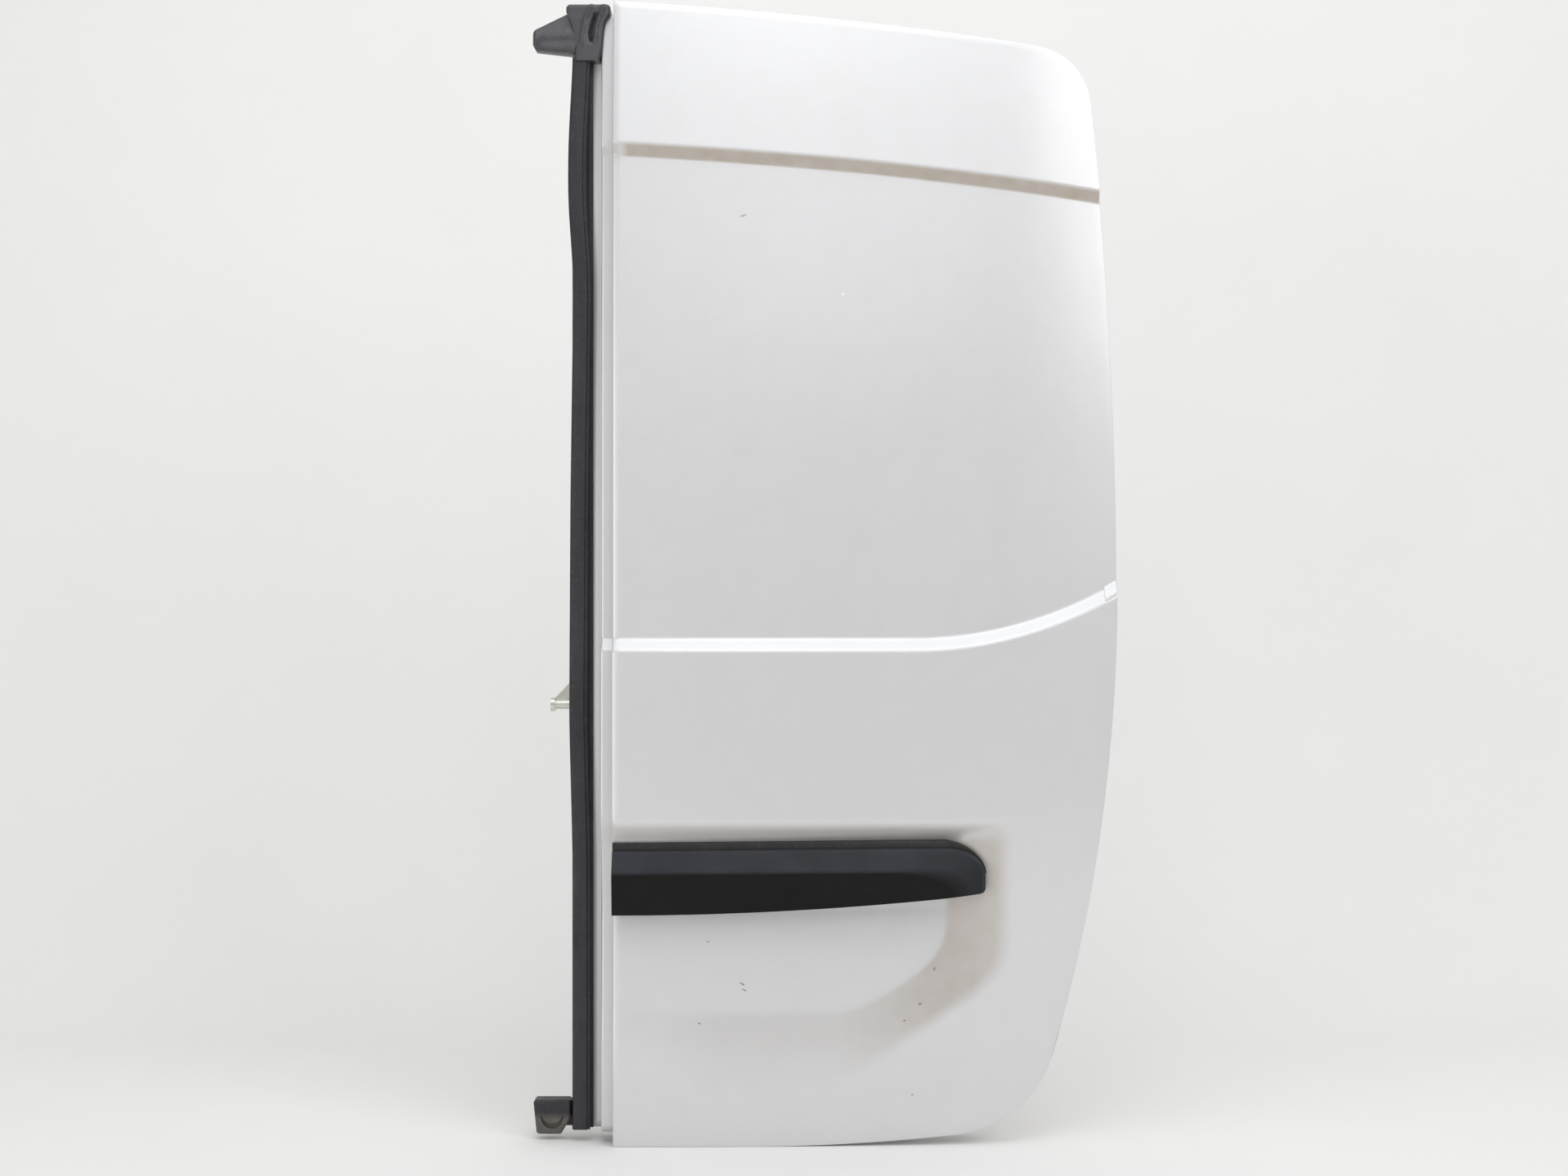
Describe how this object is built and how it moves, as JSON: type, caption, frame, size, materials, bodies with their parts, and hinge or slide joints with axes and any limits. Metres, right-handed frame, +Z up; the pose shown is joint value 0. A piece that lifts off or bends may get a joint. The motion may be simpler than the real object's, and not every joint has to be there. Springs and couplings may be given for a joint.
{
  "type": "panel van rear barn-door leaf",
  "caption": "Silver right-hand rear barn-door leaf of a panel van, unglazed, with plate recess, black garnish, meeting seal and concealed hinges",
  "frame": {"origin": "centre of the mounting face of the lower hinge's body leaf", "axes": "+X from the closing edge toward the hinges, +Y from outside into the van, +Z up"},
  "size_m": [0.684, 0.1223, 1.332],
  "materials": {
    "silver_paint": "silver metallic",
    "seal_rubber": "matt",
    "black_plastic": "satin",
    "zinc_steel": "zinc plated"
  },
  "bodies": {
    "hinge_mounts": {"lower_hinge_body_leaf": "silver_paint", "upper_hinge_body_leaf": "silver_paint", "lower_hinge_pin": "zinc_steel", "upper_hinge_pin": "zinc_steel"},
    "door": {"outer_skin": "silver_paint", "inner_panel": "silver_paint", "closing_channel": "silver_paint", "skin_brace": "silver_paint", "lower_hinge_door_leaf": "silver_paint", "upper_hinge_door_leaf": "silver_paint", "meeting_seal": "seal_rubber", "upper_buffer": "seal_rubber", "lower_buffer": "seal_rubber", "seal_top_cap": "seal_rubber", "seal_bottom_cap": "seal_rubber", "garnish_gasket": "seal_rubber", "plug_waist_left": "seal_rubber", "plug_waist_middle": "seal_rubber", "plug_waist_right": "seal_rubber", "plate_garnish": "black_plastic", "release_frame": "black_plastic", "release_pull": "black_plastic", "striker_plate": "zinc_steel", "striker_bar": "zinc_steel", "upper_latch_plate": "zinc_steel", "lower_latch_plate": "zinc_steel", "upper_latch_case": "zinc_steel", "lower_latch_case": "zinc_steel"}
  },
  "joints": [
    {"name": "door_swing", "type": "hinge", "parent": "hinge_mounts", "child": "door", "pos_m": [0, -0.044, 0], "axis": [0, 0, 1], "range_deg": [0, 90]}
  ]
}
